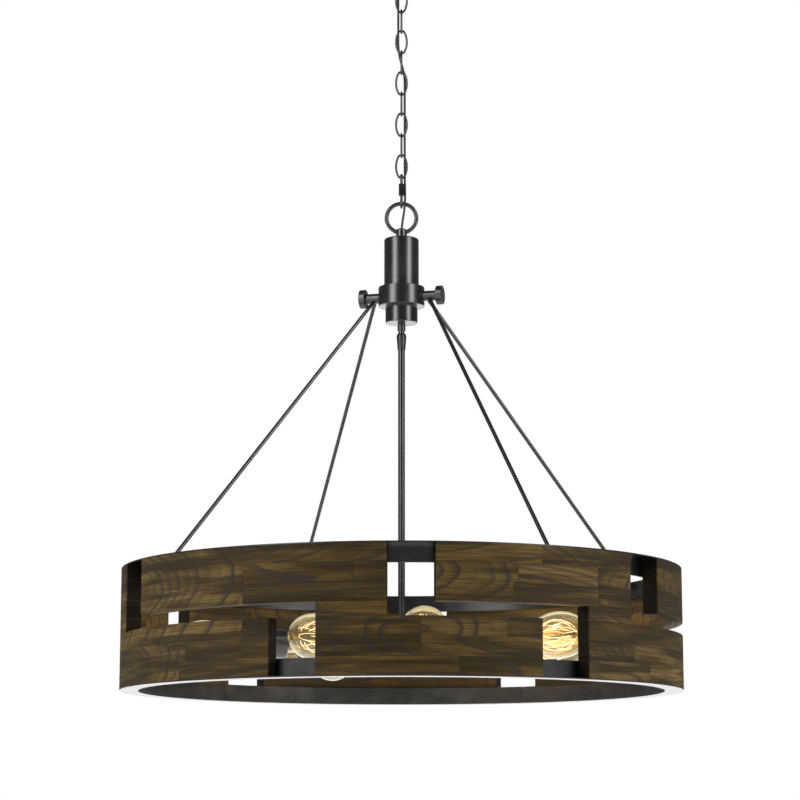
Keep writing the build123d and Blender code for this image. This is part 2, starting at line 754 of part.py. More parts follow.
# Arms: the tubes from the wiring cup to the sockets
with BuildPart() as lamp_arms:
    for index in range(lamp_count):
        plane = lamp_plane(index)
        arm_start = cluster_diameter / 2 - cluster_wall - arm_inside
        arm_end = socket_rim(index) - socket_length + arm_inside
        with BuildSketch(plane.offset(arm_start)):
            Circle(arm_diameter / 2)
            Circle(arm_bore / 2, mode=Mode.SUBTRACT)
        extrude(amount=arm_end - arm_start)
save(lamp_arms, "lamp_arms")

# Socket cups: the metal shells over the sockets
with BuildPart() as socket_cups:
    for index in range(lamp_count):
        plane = lamp_plane(index)
        back = socket_rim(index) - socket_length
        with BuildSketch(side_plane(plane)):
            with BuildLine():
                Polyline(
                    (arm_diameter / 2 + thread_clearance, back),
                    (socket_diameter / 2 - socket_edge_radius, back),
                    (socket_diameter / 2, back + socket_edge_radius),
                    (socket_diameter / 2, back + socket_length),
                    (socket_diameter / 2 - socket_wall, back + socket_length),
                    (socket_diameter / 2 - socket_wall, back + socket_wall + socket_edge_radius),
                    (socket_diameter / 2 - socket_edge_radius, back + socket_wall),
                    (arm_diameter / 2 + thread_clearance, back + socket_wall), close=True)
            make_face()
        revolve(axis=Axis(plane.origin, plane.z_dir))
save(socket_cups, "socket_cups")

# Socket liners: the insulating sockets that hold the bulb bases
with BuildPart() as socket_liners:
    for index in range(lamp_count):
        plane = lamp_plane(index)
        front = socket_rim(index) - liner_setback
        with BuildSketch(plane.offset(front - liner_length)):
            Circle(socket_diameter / 2 - socket_wall - liner_clearance)
        extrude(amount=liner_length)
        bore_depth = base_length + contact_length + base_inside - liner_setback + base_clearance
        with BuildSketch(plane.offset(front - bore_depth)):
            Circle(base_diameter / 2 + base_clearance)
        extrude(amount=bore_depth, mode=Mode.SUBTRACT)
save(socket_liners, "socket_liners")


def bulb_curve(start, wall):
    """Draw the outline of the blown glass, drawn in by a wall, from the neck to the tip."""
    neck = bulb_neck_diameter / 2 - wall
    widest = bulb_diameter / 2 - wall
    dome = bulb_dome_length - wall
    dome_start = start + bulb_flank_length
    flank = Bezier((neck, start), (neck + neck_swell, start + neck_pull),
                   (widest, start + shoulder_pull), (widest, dome_start))
    Bezier((widest, dome_start), (widest, dome_start + quarter_pull * dome),
           (quarter_pull * widest, dome_start + dome), (0, dome_start + dome))
    return flank @ 0


for index in range(lamp_count):
    plane = lamp_plane(index)
    glass_start = socket_rim(index) - base_inside
    lamp_axis = Axis(plane.origin, plane.z_dir)

    # Bulb base: the screw cap with its end contact
    with BuildPart() as bulb_base:
        with BuildSketch(plane.offset(glass_start - bulb_seat_gap)):
            Circle(base_diameter / 2)
        extrude(amount=-base_length)
        with BuildSketch(plane.offset(glass_start - bulb_seat_gap - base_length)):
            Circle(contact_diameter / 2)
        extrude(amount=-contact_length)
    save(bulb_base, f"bulb_base_{index + 1}")

    # Bulb glass: the blown envelope, open at the base
    glass_tip = glass_start + bulb_flank_length + bulb_dome_length
    with BuildPart() as bulb_glass:
        with BuildSketch(side_plane(plane)):
            with BuildLine():
                outer_neck = bulb_curve(glass_start, 0)
                inner_neck = bulb_curve(glass_start, glass_thickness)
                Line(outer_neck, inner_neck)
                Line((0, glass_tip), (0, glass_tip - glass_thickness))
            make_face()
        revolve(axis=lamp_axis)
    save(bulb_glass, f"bulb_glass_{index + 1}")

# Cord: the supply cord, woven through the links from the collar to the hub. It passes each contact
# of two links on one side of both, through every link that faces the front.
contact_sides = ((-1, 1), (-1, 1), (-1, -1), (-1, -1), (-1, 1), (1, 1),
                 (1, -1), (1, -1), (1, 1), (1, 1), (1, -1))
route = [Vector(0, 0, collar_bottom + cord_inside), Vector(0, 0, collar_bottom - cord_run_in)]
for index, (side_x, side_y) in enumerate(contact_sides):
    contact_z = first_link_z + (0.5 - index) * link_pitch
    route.append(Vector(side_x * cord_offset, side_y * cord_offset, contact_z))
route.append(Vector(cord_loop_x, cord_loop_y, (quick_wire_z + hub_loop_wire_z) / 2))
route.append(Vector(0, 0, hub_top + neck_height + cord_end_rise))
route.append(Vector(0, 0, hub_top + neck_height - cord_end_depth))


def bend_radii(points):
    """The radius of each bend: as large as its runs allow, up to what the links leave room for."""
    radii = []
    for before, corner, after in zip(points, points[1:], points[2:]):
        turn = (corner - before).get_angle(after - corner)
        run = min((corner - before).length, (after - corner).length)
        radii.append(min(cord_bend_radius, cord_run_share * run / tan(radians(turn / 2))))
    return radii


with BuildPart() as cord:
    with BuildLine() as cord_path:
        FilletPolyline(*route, radius=bend_radii(route))
    with BuildSketch(Plane(origin=route[0], z_dir=route[1] - route[0])):
        Circle(cord_diameter / 2)
    sweep(path=cord_path.line)
save(cord, "cord")
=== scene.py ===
# %% [markdown]
# # A drum chandelier of bent wood and dark metal
#
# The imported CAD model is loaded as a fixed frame. It says where every part of the lamp is, and
# this notebook never moves any of it. What it adds is the looks: wood with its staves and grain,
# satin metal, blown glass with a glowing filament, a supply cord, light and a camera.

# %% Load the frame
import json
from math import radians

import bmesh
import bpy
import numpy as np
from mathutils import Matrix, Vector


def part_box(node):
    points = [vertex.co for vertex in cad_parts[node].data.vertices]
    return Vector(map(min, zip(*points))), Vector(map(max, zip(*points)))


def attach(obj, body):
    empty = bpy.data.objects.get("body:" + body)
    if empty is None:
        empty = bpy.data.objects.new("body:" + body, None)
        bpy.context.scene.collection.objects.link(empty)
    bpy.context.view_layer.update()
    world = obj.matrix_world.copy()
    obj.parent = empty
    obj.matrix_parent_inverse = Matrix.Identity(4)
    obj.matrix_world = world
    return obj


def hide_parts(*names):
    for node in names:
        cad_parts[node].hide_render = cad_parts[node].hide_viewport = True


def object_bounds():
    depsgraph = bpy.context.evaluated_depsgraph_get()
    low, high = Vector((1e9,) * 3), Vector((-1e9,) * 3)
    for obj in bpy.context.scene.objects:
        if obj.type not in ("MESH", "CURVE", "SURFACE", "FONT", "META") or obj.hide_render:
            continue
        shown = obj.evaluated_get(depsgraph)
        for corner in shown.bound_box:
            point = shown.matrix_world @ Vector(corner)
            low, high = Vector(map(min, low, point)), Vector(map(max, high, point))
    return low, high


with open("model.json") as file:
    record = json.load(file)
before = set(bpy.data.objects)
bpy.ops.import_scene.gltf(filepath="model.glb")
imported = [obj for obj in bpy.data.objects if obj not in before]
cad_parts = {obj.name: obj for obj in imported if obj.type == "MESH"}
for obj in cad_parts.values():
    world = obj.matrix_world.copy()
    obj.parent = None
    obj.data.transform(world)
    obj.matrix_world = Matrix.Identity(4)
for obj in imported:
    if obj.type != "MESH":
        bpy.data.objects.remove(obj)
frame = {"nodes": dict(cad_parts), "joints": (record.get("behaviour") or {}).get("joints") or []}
nodes = frame["nodes"]
joints = {joint["name"]: joint for joint in frame["joints"]}
cad_low, cad_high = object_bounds()
print("nodes in the frame:", len(nodes))
print("size of the frame in metres:", [round(v, 4) for v in cad_high - cad_low])

# %% [markdown]
# ## Camera
#
# A photograph can be matched only from the place it was taken from. The rims of the drum are two
# circles, and how flat their ellipses look gives the height, the distance and the lens of the
# camera. Here it stands 3.4 m in front of the lamp, a little below the drum, and looks up by ten
# degrees. The lens is long, so that near and far side of the drum are almost the same size. In
# the photograph the hub hangs a little right of the drum's middle; the camera shares that out.


# %% Camera
def add_object(name, data):
    """A new object in the scene, at the origin and unturned."""
    made = bpy.data.objects.new(name, data)
    bpy.context.scene.collection.objects.link(made)
    return made


camera_data = bpy.data.cameras.new("camera")
camera_data.lens = 107.0
camera_data.sensor_width = 36.0
camera_data.clip_end = 60.0
looks_up = 9.967
camera = add_object("camera", camera_data)
camera.location = (-0.0022, -3.4109, -1.3075)
camera.rotation_euler = (radians(90.0 + looks_up), 0.0, 0.0)
bpy.context.scene.camera = camera
print(f"camera: {camera_data.lens:.0f} mm lens, looks up by {looks_up} degrees")

# %% [markdown]
# ## Helpers for materials
#
# A material is a small graph of nodes. A few helpers keep the graphs short to write: they fill
# inputs, add a node, do arithmetic, mix two colours, ease from one value to another, and make
# noise and bumps. An input may be a value or another node's output.


# %% Helpers for materials
def set_inputs(tree, node, inputs):
    """Fill a node's inputs; each is a value or another node's output."""
    for key, value in inputs.items():
        if isinstance(value, bpy.types.NodeSocket):
            tree.links.new(value, node.inputs[key])
        else:
            node.inputs[key].default_value = value


def add_node(tree, kind, inputs=None, **settings):
    """A new node with its settings and inputs filled in."""
    node = tree.nodes.new(kind)
    for name, value in settings.items():
        setattr(node, name, value)
    set_inputs(tree, node, inputs or {})
    return node


def calculate(tree, operation, *values):
    """One step of arithmetic on numbers or outputs."""
    inputs = dict(enumerate(values))
    return add_node(tree, "ShaderNodeMath", inputs, operation=operation).outputs[0]


def mix_colors(tree, share, first, second):
    """First where share is 0, second where it is 1."""
    inputs = {0: share, 6: first, 7: second}
    return add_node(tree, "ShaderNodeMix", inputs, data_type="RGBA").outputs[2]


def ease(tree, value, start, end, low=0.0, high=1.0):
    """A smooth step from low to high while value goes from start to end."""
    inputs = {0: value, 1: start, 2: end, 3: low, 4: high}
    return add_node(tree, "ShaderNodeMapRange", inputs, interpolation_type="SMOOTHSTEP").outputs[0]


def noise(tree, place, scale, detail=2.0):
    """Noise between 0 and 1 whose grains are 1 / scale long in each direction of place.

    The noise has a lattice of its own. Turning it hides the lattice, which shows as bars in
    noise that is much stretched in one direction.
    """
    inputs = {"Vector": place, "Scale": scale, "Rotation": (0.6, 0.5, 0.4)}
    stretched = add_node(tree, "ShaderNodeMapping", inputs).outputs[0]
    inputs = {"Vector": stretched, "Scale": 1.0, "Detail": detail}
    return add_node(tree, "ShaderNodeTexNoise", inputs).outputs[0]


def bumps(tree, height, strength, distance):
    """A surface direction that leans as if height, times distance, were a real relief."""
    inputs = {"Height": height, "Strength": strength, "Distance": distance}
    return add_node(tree, "ShaderNodeBump", inputs).outputs[0]


def start_material(name):
    """A material, its graph, its Principled shader, and where the piece is in space."""
    material = bpy.data.materials.new(name)
    material.use_nodes = True
    tree = material.node_tree
    place = add_node(tree, "ShaderNodeTexCoord").outputs["Object"]
    return material, tree, tree.nodes["Principled BSDF"], place


# %% [markdown]
# ## Dark metal
#
# Rims, rods, hub and chain are steel with a near-black satin coat. Such a coat shows almost no
# colour of its own: it is dark where it faces a dark part of the studio, and bright where it
# faces a lamp or, at a flat angle, the pale floor. A clear coat over a dark metal does just that.
# Slow clouds in colour and roughness and a little fine grain keep it from looking like plastic.


# %% Dark metal
def make_dark_metal(name, base, fleck, roughness):
    """A coated metal: slow clouds in colour and roughness, and a fine grain in the surface."""
    material, tree, shader, place = start_material(name)
    clouds = noise(tree, place, (38.0, 38.0, 38.0), 3.0)
    grain = noise(tree, place, (1700.0, 1700.0, 1700.0))
    set_inputs(tree, shader, {
        "Base Color": mix_colors(tree, ease(tree, clouds, 0.35, 0.7), base, fleck),
        "Roughness": ease(tree, clouds, 0.3, 0.7, roughness - 0.03, roughness + 0.05),
        "Metallic": 1.0,
        "Coat Weight": 1.0,
        "Coat IOR": 1.6,
        "Coat Roughness": roughness - 0.04,
        "Normal": bumps(tree, grain, 0.02, 0.0002),
    })
    return material


dark_metal = make_dark_metal("satin black", (0.02, 0.0195, 0.018, 1), (0.034, 0.033, 0.03, 1), 0.3)
print("coated metal:", dark_metal.name)

# %% [markdown]
# ## The other metals, paint and insulator
#
# The bar and its nuts are plain zinc-plated steel: a grey metal with a faint cloudy bloom. The
# threaded pipe and the caps of the bulbs are brass, the same metal in another colour. The ground
# screw is painted green, as such screws are everywhere, and the sockets are lined with a black
# insulator. Paint and insulator are no metals, so they only vary between two shades.


# %% The other metals, paint and insulator
def make_plain_metal(name, color, bloom, roughness):
    """Bare metal with a cloudy bloom, which is rougher than the metal."""
    material, tree, shader, place = start_material(name)
    clouds = ease(tree, noise(tree, place, (160.0, 160.0, 160.0), 4.0), 0.35, 0.65)
    set_inputs(tree, shader, {
        "Base Color": mix_colors(tree, clouds, color, bloom),
        "Roughness": ease(tree, clouds, 0.0, 1.0, roughness, roughness + 0.15),
        "Metallic": 1.0,
    })
    return material


def make_mottled(name, grain, dark, light, roughness):
    """A skin that is no metal, mottled between two shades by fine noise."""
    material, tree, shader, place = start_material(name)
    color = mix_colors(tree, noise(tree, place, grain), dark, light)
    set_inputs(tree, shader, {"Base Color": color, "Roughness": roughness})
    return material


zinc = make_plain_metal("zinc", (0.52, 0.52, 0.5, 1), (0.4, 0.41, 0.42, 1), 0.3)
brass = make_plain_metal("brass", (0.62, 0.44, 0.2, 1), (0.48, 0.34, 0.17, 1), 0.28)
green_paint = make_mottled("green paint", (900.0, 900.0, 900.0),
                           (0.01, 0.12, 0.04, 1), (0.02, 0.2, 0.07, 1), 0.35)
insulator = make_mottled("black insulator", (500.0, 500.0, 500.0),
                         (0.008, 0.008, 0.008, 1), (0.022, 0.02, 0.018, 1), 0.55)
print("other finishes:", [made.name for made in (zinc, brass, green_paint, insulator)])

# %% [markdown]
# ## Parts that keep the frame's shape
#
# Turned and bent metal is already exact in the frame, so those parts only get a finish. The
# screws through the bands look blackened like the rims, so they get the same dark metal.

# %% Give the finishes to the frame's own parts
coated_nodes = """canopy canopy_loop ring_nut top_link chain_links quick_link quick_link_nut hub_loop
    hub_pipe hub_body hub_collar hub_cup cross_pin_right cross_pin_left rod_front_right rod_back_right
    rod_front_left rod_back_left rod_bosses stem_coupler stem top_ring bottom_ring cluster_body
    cluster_cap finial lamp_arms socket_cups panel_screws""".split()
finishes = dict.fromkeys(coated_nodes, dark_metal)
finishes.update(dict.fromkeys(("ceiling_bar", "lock_nut", "stem_nut"), zinc))
finishes.update(canopy_pipe=brass, ground_screw=green_paint, socket_liners=insulator)
for name, finish in finishes.items():
    nodes[name].data.materials.clear()
    nodes[name].data.materials.append(finish)
print("parts of the frame that keep their shape:", len(finishes))

# %% [markdown]
# ## Helpers for pieces
#
# A surface is a grid of points. The two directions of the grid are the two parameters of the
# surface, so numpy can work out all points at once. One helper turns points and faces into a
# Blender mesh, joins what meets at a pole or a seam, and turns the faces outwards.


# %% Helpers for pieces
def grid_faces(rows, columns):
    """Four-sided faces between neighbouring rows and columns; the last column meets the first."""
    row, column = np.meshgrid(np.arange(rows - 1), np.arange(columns), indexing="ij")
    after = (column + 1) % columns
    corners = (row * columns + column, row * columns + after, (row + 1) * columns + after,
               (row + 1) * columns + column)
    return np.stack(corners, axis=-1).reshape(-1, 4)


def make_piece(name, points, faces, material, body, smooth_degrees=40.0, merge=True):
    """A named object that moves with a body of the frame."""
    mesh = bpy.data.meshes.new(name)
    mesh.from_pydata(np.asarray(points).reshape(-1, 3), [], [tuple(face) for face in faces])
    if merge:
        work = bmesh.new()
        work.from_mesh(mesh)
        bmesh.ops.remove_doubles(work, verts=work.verts, dist=1e-7)
        bmesh.ops.recalc_face_normals(work, faces=work.faces)
        work.to_mesh(mesh)
        work.free()
    mesh.shade_smooth()
    mesh.set_sharp_from_angle(angle=radians(smooth_degrees))
    mesh.materials.append(material)
    piece = add_object(name, mesh)
    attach(piece, body)
    return piece


# %% [markdown]
# ## Where the wood is
#
# Each panel is a Z: one arc in the upper tier, one in the lower, and a block between them where
# they overlap. The arcs are read from the frame's own solids, as azimuths round the drum. An
# azimuth is 0 at the front and grows to the right. A tier is three rows of staves high, and the
# flat leg of a rim covers the last bit of its outermost row.

# %% Where the wood is
drum_radius = cad_high.x
upper_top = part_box("top_ring")[1].z
lower_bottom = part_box("bottom_ring")[0].z
leg_thickness = 0.0016
row_height = 0.0254
rows_in_tier = 3
tier_height = rows_in_tier * row_height
panel_count = sum(name.startswith("wood_panel_") for name in nodes)


def node_points(name):
    """All vertices of one of the frame's parts, as an array."""
    mesh = nodes[name].data
    points = np.empty(len(mesh.vertices) * 3, np.float32)
    mesh.vertices.foreach_get("co", points)
    return points.reshape(-1, 3).astype(float)


def azimuths_of(points, about):
    """Azimuth of each point in degrees, counted without a jump within half a turn of about."""
    azimuth = np.degrees(np.arctan2(points[:, 0], -points[:, 1]))
    return about + (azimuth - about + 180.0) % 360.0 - 180.0


panels = []
for number in range(1, panel_count + 1):
    points = node_points(f"wood_panel_{number}")
    middle = np.degrees(np.arctan2(points[:, 0].mean(), -points[:, 1].mean()))
    azimuth = azimuths_of(points, middle)
    upper = azimuth[points[:, 2] > upper_top - 0.5 * tier_height]
    lower = azimuth[points[:, 2] < lower_bottom + 0.5 * tier_height]
    panels.append((upper.min(), upper.max(), lower.min(), lower.max()))
    print(f"wood_panel_{number}: upper {upper.min():.1f} to {upper.max():.1f},",
          f"lower {lower.min():.1f} to {lower.max():.1f} degrees")
inner_radius = np.hypot(points[:, 0], points[:, 1]).min()
print(f"the wood is {(drum_radius - inner_radius) * 1000:.1f} mm thick")

# %% [markdown]
# ## Staves
#
# The real panels are glued up from short staves, three rows to a tier, and then bent and sanded
# to one smooth drum. Each stave comes from another tree, so each has its own tone and its own
# grain. They could be painted on one surface, but then the joints would be only lines of colour.
# Here every stave is a closed block with tiny bevels, so the joints are real grooves.

# %% The shape of a stave
bevel = 0.00025
corner_radius = 0.0016
ring_step = 0.008
section_corners = 8


def stave_end(free):
    """How the end of a stave draws in: distance from its end, and loss of outer radius and edges.

    A free end has a quarter round on its outer corner. A glued end has only the tiny bevel.
    """
    if free:
        turn = np.radians(np.linspace(0.0, 90.0, 6))
        first = turn == 0.0
        return corner_radius * (1 - np.cos(turn)), corner_radius * (1 - np.sin(turn)), bevel * first
    return np.array([0.0, bevel]), np.array([bevel, 0.0]), np.array([bevel, 0.0])


def shape_stave(start, end, low, high, free_start, free_end):
    """A curved block. Its section has eight corners and is carried round the drum in rings."""
    arc_start, arc_end = np.radians([start, end]) * drum_radius
    first_in, first_loss, first_edge = stave_end(free_start)
    last_in, last_loss, last_edge = stave_end(free_end)
    count = max(2, int((arc_end - arc_start) / ring_step))
    between = np.linspace(arc_start + first_in[-1], arc_end - last_in[-1], count + 1)[1:-1]
    along = np.concatenate([arc_start + first_in, between, arc_end - last_in[::-1]])
    loss = np.concatenate([first_loss, np.zeros(len(between)), last_loss[::-1]])[:, None]
    edge = np.concatenate([first_edge, np.zeros(len(between)), last_edge[::-1]])[:, None]
    outer = drum_radius - loss
    inner = inner_radius + edge
    bottom = low + edge
    top = high - edge
    radius = np.hstack([inner, inner + bevel, outer - bevel, outer,
                        outer, outer - bevel, inner + bevel, inner])
    height = np.hstack([bottom + bevel, bottom, bottom, bottom + bevel,
                        top - bevel, top, top, top - bevel])
    return np.repeat(along[:, None], section_corners, axis=1), radius, height


# %% [markdown]
# The grain is worked out as a sawmill does it. A tree is a stack of rings round a pith, and a
# stave is cut somewhere out of that tree. So each point of a stave also gets its place in the
# tree: along the trunk, and across it. Where the cut leans against the trunk, the rings meet the
# face in long arches. Where it doesn't, they are straight lines.

# %% The tree a stave is cut from
random = np.random.default_rng(20)
# For each kind of cut: how much it leans, how far off and how deep the pith may lie, and how
# much wider than usual the rings are.
arched_cut = ((0.15, 0.4), 0.03, (0.05, 0.08), 1.5)
straight_cut = ((0.01, 0.05), 0.08, (0.04, 0.15), 1.0)
shift_upward = 0.37


def place_in_tree(along, radius, height, board):
    """Turn places on the drum into places in a board's tree: along the trunk, and across it twice.

    The board says where its pith is: an azimuth, a height, how deep below the surface it lies
    there and how fast it goes deeper to the right. It also says how much wider than usual the
    rings are, and how far along the noise the board is, so that no two boards look alike. The
    second result is the place without the lean and the widening, for streaks and pores.
    """
    azimuth, pith_height, depth, lean, widening, far = board
    x = along - radians(azimuth) * drum_radius
    across = height - pith_height
    below = drum_radius - radius + depth + lean * x
    in_tree = np.stack([x + far, below / widening, across / widening], axis=-1)
    return in_tree, np.stack([x + far, drum_radius - radius, height + shift_upward * far], axis=-1)


def any_board(start, end, low, high):
    """A board cut anywhere out of a tree: half of them show arches, the others straight grain."""
    azimuth = random.uniform(start, end)
    far = random.uniform(0, 40)
    leans, offset, depths, widening = arched_cut if random.random() < 0.5 else straight_cut
    lean = random.choice([-1, 1]) * random.uniform(*leans)
    pith_height = (low + high) / 2 + random.uniform(-offset, offset)
    return azimuth, pith_height, random.uniform(*depths), lean, widening, far


# %% [markdown]
# The joints that the photograph shows on the near side are given, a list for each row from
# the top down. Everywhere else they fall where they may. The boards that catch the eye there are
# given too, each with its rows, the azimuths between which the middle of its stave lies, the
# board as place_in_tree reads it, its tone and its warmth. Where one runs over several rows,
# its arches go on from row to row.

# %% Where the joints fall
near_joints = [
    [-30.9, 27.0],
    [-30.9, -8.8, 22.0, 40.0],
    [-30.9, 21.0, 40.0],
    [],
    [-31.0, 3.5, 19.9],
    [-45.0, -31.0, 3.5, 50.5],
    [-47.0, -7.0, 10.5, 56.0],
]
near_side = 62.0
upper_axis = upper_top - 0.044
lower_axis = lower_bottom + 0.040
near_boards = [
    (range(0, 3), (-63, -30.9), (-60.0, upper_axis, 0.032, 0.36, 1.7, 3.0), 0.75, 0.9),
    (range(0, 1), (-30.9, 0), (-30.0, upper_top + 0.02, 0.030, 0.20, 1.3, 5.0), 0.4, 0.3),
    (range(1, 2), (-30.9, -8.8), (-32.0, upper_axis, 0.050, 0.06, 1.2, 7.0), 0.4, 0.4),
    (range(1, 2), (-8.8, 0), (-5.0, upper_axis - 0.1, 0.050, 0.03, 1.0, 9.0), 0.5, 0.3),
    (range(2, 3), (-30.9, 0), (-20.0, upper_top - 0.12, 0.040, -0.05, 1.2, 11.0), 0.3, 0.2),
    (range(3, 4), (-17, 0), (-9.0, upper_top - 0.080, 0.012, -0.10, 1.5, 13.0), 0.3, 0.0),
    (range(4, 6), (-17, 3.5), (1.0, lower_axis + 0.012, 0.012, -0.42, 2.2, 15.0), 0.42, 0.1),
    (range(6, 7), (-17, 3.5), (-20.0, lower_axis - 0.1, 0.050, 0.02, 1.0, 17.0), 0.45, 0.3),
    (range(4, 5), (3.5, 19.9), (11.0, lower_axis + 0.02, 0.020, 0.35, 1.8, 19.0), 0.7, 1.0),
    (range(5, 6), (3.5, 28), (10.0, lower_axis + 0.015, 0.030, -0.25, 1.8, 19.5), 0.68, 1.0),
    (range(0, 1), (6, 27), (15.0, upper_top + 0.02, 0.050, 0.10, 1.2, 21.0), 0.5, 0.5),
    (range(0, 1), (27, 50), (24.0, upper_top - 0.045, 0.012, 0.38, 1.8, 22.0), 0.4, 0.2),
    (range(1, 3), (6, 22), (4.0, upper_top - 0.040, 0.014, 0.38, 1.9, 23.0), 0.55, 0.6),
    (range(1, 2), (22, 40), (22.0, upper_top - 0.075, 0.030, 0.14, 1.6, 25.0), 0.66, 0.9),
    (range(2, 3), (21, 40), (20.0, upper_top - 0.020, 0.040, 0.10, 1.4, 26.0), 0.6, 0.8),
    (range(1, 4), (40, 50), (54.0, upper_top - 0.050, 0.012, -0.45, 2.0, 27.0), 0.45, 0.2),
    (range(5, 7), (-66, -45), (-64.0, lower_axis - 0.014, 0.012, 0.40, 1.8, 29.0), 0.65, 0.9),
    (range(5, 6), (-45, -31), (-40.0, lower_axis, 0.040, 0.04, 1.0, 31.0), 0.32, 0.1),
]


def random_joints():
    """Joint azimuths for one row all round the drum: staves of 14 to 50 degrees."""
    return np.cumsum(random.uniform(14.0, 50.0, 30)) - 200.0 + random.uniform(0, 20)


row_joints = []
for set_by_hand in near_joints:
    spread = [a for a in random_joints() if near_side < abs(a) < 180.0]
    joined = np.array(sorted(spread + set_by_hand))
    row_joints.append(np.concatenate([joined - 360.0, joined, joined + 360.0]))
    print("joints in a row, in degrees:", joined.round(1).tolist())

# %% [markdown]
# ## Panels
#
# A panel is one object, though it is glued up from many staves, because they never move apart.
# Its blocks are cut row by row, then joined into one mesh. With each point goes what the
# material has to know about it: its place in the tree, its tone and its warmth.

# %% Cut the staves of a panel
shortest_stave = 2.5
spacer_top = upper_top - tier_height
spacer_bottom = lower_bottom + tier_height
row_edges = [upper_top - leg_thickness, upper_top - row_height, upper_top - 2 * row_height, spacer_top,
             spacer_bottom, lower_bottom + 2 * row_height, lower_bottom + row_height,
             lower_bottom + leg_thickness]


def cut_row(row, start, end, low, high):
    """The staves of one row between two azimuths, as arrays ready for one mesh."""
    inside = [a for a in row_joints[row] if start + shortest_stave < a < end - shortest_stave]
    stops = [start, *inside, end]
    blocks = []
    for index, (left, right) in enumerate(zip(stops, stops[1:])):
        along, radius, height = shape_stave(left, right, low, high, index == 0, index == len(stops) - 2)
        board = any_board(left, right, low, high)
        tone, warmth = random.uniform(0.15, 0.85), random.uniform(0, 1)
        for rows, azimuths, chosen, chosen_tone, chosen_warmth in near_boards:
            if row in rows and azimuths[0] < (left + right) / 2 < azimuths[1]:
                board, tone, warmth = chosen, chosen_tone, chosen_warmth
        tree_place, grain_place = place_in_tree(along, radius, height, board)
        azimuth = along / drum_radius
        points = np.stack([radius * np.sin(azimuth), -radius * np.cos(azimuth), height], axis=-1)
        blocks.append((points, tree_place, grain_place, tone, warmth))
    return blocks


def cut_panel(upper_start, upper_end, lower_start, lower_end):
    """All staves of one panel, row by row from the top down; the middle row is the block."""
    blocks = []
    for row in range(len(row_edges) - 1):
        if row < rows_in_tier:
            start, end = upper_start, upper_end
        elif row > rows_in_tier:
            start, end = lower_start, lower_end
        else:
            start, end = max(upper_start, lower_start), min(upper_end, lower_end)
        blocks += cut_row(row, start, end, row_edges[row + 1], row_edges[row])
    return blocks


def join_blocks(blocks):
    """Join blocks: points, faces, both places, tone and warmth for each point, end faces."""
    points, faces, tree_places, grain_places, tones, warmths, ends = [], [], [], [], [], [], []
    offset = 0
    for block, tree_place, grain_place, tone, warmth in blocks:
        rings = len(block)
        count = rings * section_corners
        points.append(block.reshape(-1, 3))
        tree_places.append(tree_place.reshape(-1, 3))
        grain_places.append(grain_place.reshape(-1, 3))
        tones.append(np.full(count, tone))
        warmths.append(np.full(count, warmth))
        sides = grid_faces(rings, section_corners)[:, ::-1] + offset
        first_end = list(range(offset, offset + section_corners))
        last_end = list(range(offset + count - 1, offset + count - section_corners - 1, -1))
        faces += [*sides.tolist(), first_end, last_end]
        ends.append(np.concatenate([np.zeros(len(sides)), [1.0, 1.0]]))
        offset += count
    return [np.concatenate(points), faces, np.concatenate(tree_places), np.concatenate(grain_places),
            np.concatenate(tones), np.concatenate(warmths), np.concatenate(ends)]


print("rows of staves in a panel:", len(row_edges) - 1)

# %% [markdown]
# ## Stained wood
#
# The stain is grey-brown. Early wood takes it as a warm brown, late wood as narrow grey lines,
# and cut ends drink much of it. Cut ends are made nearly black, which is partly that stain and
# partly painted shade for the shadow that falls on them in the gaps. The rings are the distance
# from the pith, made uneven by noise that is stretched along the trunk. Over the body colour lie,
# one over the other, dark patches, the shade within each ring, fine brushed streaks, late wood,
# short dark pores and the darkened cut ends. Streaks and pores also go into the bump, as the
# brushed surface can be felt.

# %% Rings of the stained wood
stained_wood, tree, shader, _ = start_material("stained wood")
ring_width = 0.0042
ring_waver = 0.007


def read_attribute(name, output="Fac"):
    """A value that goes with each point or face of the wood."""
    return add_node(tree, "ShaderNodeAttribute", attribute_name=name).outputs[output]


in_tree = read_attribute("tree_place", "Vector")
in_grain = read_attribute("grain_place", "Vector")
parts = add_node(tree, "ShaderNodeSeparateXYZ", {0: in_tree}).outputs
squares = calculate(tree, "ADD", calculate(tree, "MULTIPLY", parts[1], parts[1]),
                    calculate(tree, "MULTIPLY", parts[2], parts[2]))
from_pith = calculate(tree, "SQRT", squares)
waver = calculate(tree, "MULTIPLY_ADD", noise(tree, in_grain, (8.0, 8.0, 24.0), 2.5), ring_waver,
                  -ring_waver / 2)
ring = calculate(tree, "DIVIDE", calculate(tree, "ADD", from_pith, waver), ring_width)
within_ring = calculate(tree, "FRACT", ring)
which_ring = add_node(tree, "ShaderNodeTexWhiteNoise", {"W": calculate(tree, "FLOOR", ring)},
                      noise_dimensions="1D").outputs["Value"]
late_wood = calculate(tree, "MULTIPLY", ease(tree, within_ring, 0.55, 0.85),
                      ease(tree, within_ring, 1.0, 0.92))
late_wood = calculate(tree, "MULTIPLY", late_wood, ease(tree, which_ring, 0.3, 0.8, 0.25, 1.0))
ring_shade = calculate(tree, "MULTIPLY", ease(tree, within_ring, 0.1, 0.9),
                       ease(tree, which_ring, 0.1, 0.9))

